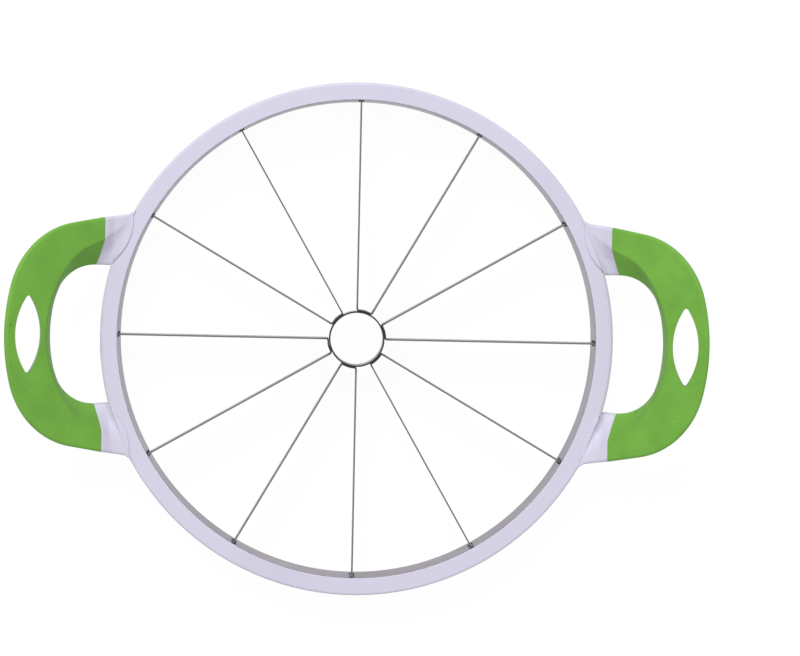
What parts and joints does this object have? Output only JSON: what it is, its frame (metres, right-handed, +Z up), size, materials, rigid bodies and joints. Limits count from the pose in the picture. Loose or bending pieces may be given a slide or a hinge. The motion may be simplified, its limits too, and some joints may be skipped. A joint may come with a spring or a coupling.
{
  "type": "melon slicer",
  "caption": "Round melon slicer: thin steel blades run from a coring tube to a steel hoop in a white moulded ring, with a raised green loop grip on each side.",
  "frame": {"origin": "centre of the ring's underside, on the surface that the slicer lies on", "axes": "+Z up along the coring tube, +X towards the right grip, +Y across, 90 degrees from the grips"},
  "size_m": [0.378, 0.28, 0.075],
  "materials": {
    "white_plastic": "satin",
    "green_grip": "soft matte",
    "band_steel": "brushed",
    "blade_steel": "polished",
    "screw_steel": "zinc plated"
  },
  "bodies": {
    "root": {"frame_shell": "white_plastic", "base_cover": "white_plastic", "rim_band": "band_steel", "hub_tube": "blade_steel", "left_grip": "green_grip", "right_grip": "green_grip", "blade_pair_1": "blade_steel", "blade_pair_2": "blade_steel", "blade_pair_3": "blade_steel", "blade_pair_4": "blade_steel", "blade_pair_5": "blade_steel", "blade_pair_6": "blade_steel", "cover_screw_1": "screw_steel", "cover_screw_2": "screw_steel", "cover_screw_3": "screw_steel", "cover_screw_4": "screw_steel", "cover_screw_5": "screw_steel", "cover_screw_6": "screw_steel", "cover_screw_7": "screw_steel", "cover_screw_8": "screw_steel"}
  },
  "joints": []
}
